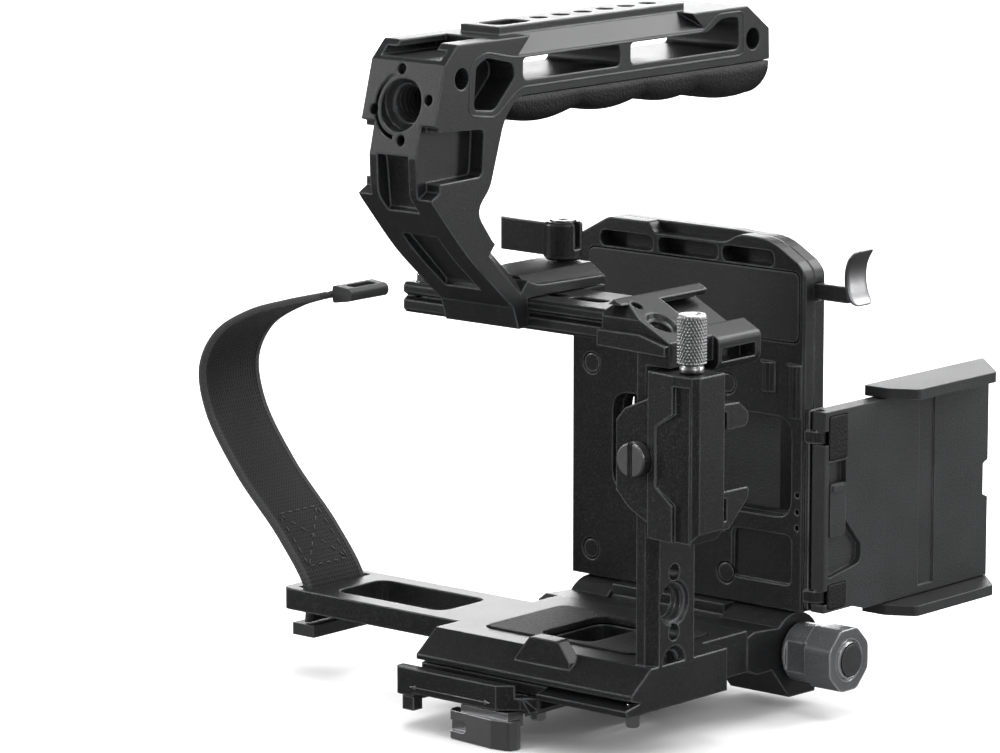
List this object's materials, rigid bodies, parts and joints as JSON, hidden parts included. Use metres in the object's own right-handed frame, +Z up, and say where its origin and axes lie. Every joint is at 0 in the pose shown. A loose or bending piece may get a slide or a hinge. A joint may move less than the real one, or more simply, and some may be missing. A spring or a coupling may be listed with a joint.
{
  "type": "cinema camera rig",
  "caption": "Half-cage camera rig with rail-mounted top handle, cable clamp, tilting battery plate, swing-out screen hood, quick-release plate and hand strap.",
  "frame": {"origin": "middle of the underside of the quick-release plate", "axes": "+Z up, -Y towards the lens, +X towards the camera's port side"},
  "size_m": [0.1758, 0.1748, 0.1725],
  "materials": {
    "black_anodised": "bead-blasted and black anodised, with brighter machined edges",
    "dark_panel": "satin dark grey anodised",
    "black_steel": "black oxide",
    "grey_metal": "dark grey anodised and satin",
    "steel": "bare turned or knurled steel",
    "chrome": "polished",
    "rubber": "matt, finely textured",
    "plastic": "fine moulded grain",
    "webbing": "woven nylon webbing",
    "brass": "plain contact metal"
  },
  "bodies": {
    "cage": {"cage_frame": "black_anodised", "badge_plate": "black_anodised", "base_pad": "rubber", "camera_screw": "steel", "corner_pin": "chrome", "rail_screw": "steel", "cable_clamp_body": "black_anodised", "lower_cable_jaw": "black_anodised", "hinge_base": "black_anodised", "tilt_pin": "steel", "release_plate": "black_anodised", "release_screw_1": "steel", "release_screw_2": "steel", "lock_stop": "black_steel", "hand_strap": "webbing", "strap_link": "plastic", "strap_stop": "plastic"},
    "stop_pin": {"rail_stop_pin": "chrome"},
    "handle": {"handle_body": "black_anodised", "handle_grip": "rubber"},
    "lever": {"clamp_lever": "black_steel", "lever_screw": "steel"},
    "jaw": {"clamp_jaw": "black_anodised"},
    "cable_thumbscrew": {"thumbscrew": "steel"},
    "cable_jaw": {"upper_cable_jaw": "black_anodised"},
    "clamp_coin_screw": {"coin_screw": "steel"},
    "battery_plate": {"plate_frame": "black_anodised", "front_panel": "dark_panel", "plate_back": "black_anodised", "plate_screw_1": "black_steel", "plate_screw_2": "black_steel", "plate_screw_3": "black_steel", "plate_screw_4": "black_steel", "battery_receiver": "plastic", "contact_block": "plastic", "contact_blades": "brass", "hood_hinge_leaf": "black_steel", "hood_pin": "steel"},
    "paddle": {"paddle_arm": "black_steel", "release_paddle": "steel"},
    "latch": {"battery_latch": "steel"},
    "knob": {"tilt_knob": "grey_metal", "knob_cap": "plastic"},
    "hood": {"hood_panel": "plastic", "hood_pad_upper": "rubber", "hood_pad_lower": "rubber", "hood_top_flange": "plastic", "hood_bottom_flange": "plastic"},
    "slider": {"hood_slider": "plastic"},
    "quick_lock": {"lock_lever": "steel"},
    "drop_pin": {"safety_pin": "chrome"}
  },
  "joints": [
    {"name": "handle_slide", "type": "slide", "parent": "cage", "child": "handle", "axis": [1, 0, 0], "range_m": [-0.01, 0.016]},
    {"name": "lever_turn", "type": "hinge", "parent": "handle", "child": "lever", "pos_m": [0, 0.013, 0.106], "axis": [0, 0, 1], "range_deg": [0, 110]},
    {"name": "jaw_open", "type": "slide", "parent": "handle", "child": "jaw", "axis": [0, 1, 0], "range_m": [0, 0.0014]},
    {"name": "stop_pin_press", "type": "slide", "parent": "cage", "child": "stop_pin", "axis": [0, 0, -1], "range_m": [0, 0.002], "stiffness_N_per_m": 300},
    {"name": "thumbscrew_turn", "type": "hinge", "parent": "cage", "child": "cable_thumbscrew", "pos_m": [0.0609, -0.0127, 0.088], "axis": [0, 0, 1], "range_deg": [-545, 545]},
    {"name": "cable_jaw_travel", "type": "slide", "parent": "cage", "child": "cable_jaw", "axis": [0, 0, 1], "range_m": [-0.0012, 0.0012]},
    {"name": "coin_screw_turn", "type": "hinge", "parent": "cage", "child": "clamp_coin_screw", "pos_m": [0.048, -0.019, 0.0663], "axis": [0, -1, 0], "continuous": true},
    {"name": "plate_tilt", "type": "hinge", "parent": "cage", "child": "battery_plate", "pos_m": [0.009, 0.0519, 0.0071], "axis": [1, 0, 0], "range_deg": [-90, 0]},
    {"name": "knob_pull", "type": "slide", "parent": "cage", "child": "knob", "axis": [1, 0, 0], "range_m": [0, 0.004], "stiffness_N_per_m": 500},
    {"name": "paddle_push", "type": "slide", "parent": "battery_plate", "child": "paddle", "axis": [-1, 0, 0], "range_m": [0, 0.0045], "stiffness_N_per_m": 300},
    {"name": "latch_drop", "type": "slide", "parent": "battery_plate", "child": "latch", "axis": [0, 0, -1], "range_m": [0, 0.0045]},
    {"name": "hood_swing", "type": "hinge", "parent": "battery_plate", "child": "hood", "pos_m": [0.0489, 0.0527, 0.042], "axis": [0, 0, 1], "range_deg": [-90, 0]},
    {"name": "hood_slider_travel", "type": "slide", "parent": "hood", "child": "slider", "axis": [0, 0, 1], "range_m": [0, 0.0045]},
    {"name": "lock_lever_travel", "type": "slide", "parent": "cage", "child": "quick_lock", "axis": [-1, 0, 0], "range_m": [0, 0.01]},
    {"name": "drop_pin_press", "type": "slide", "parent": "cage", "child": "drop_pin", "axis": [0, 0, 1], "range_m": [0, 0.002], "stiffness_N_per_m": 300}
  ],
  "couplings": [
    {"joint": "jaw_open", "follows": "lever_turn", "m_per_rad": 0.00072922},
    {"joint": "thumbscrew_turn", "follows": "cable_jaw_travel", "rad_per_m": 7854},
    {"joint": "latch_drop", "follows": "paddle_push", "ratio": 1}
  ]
}
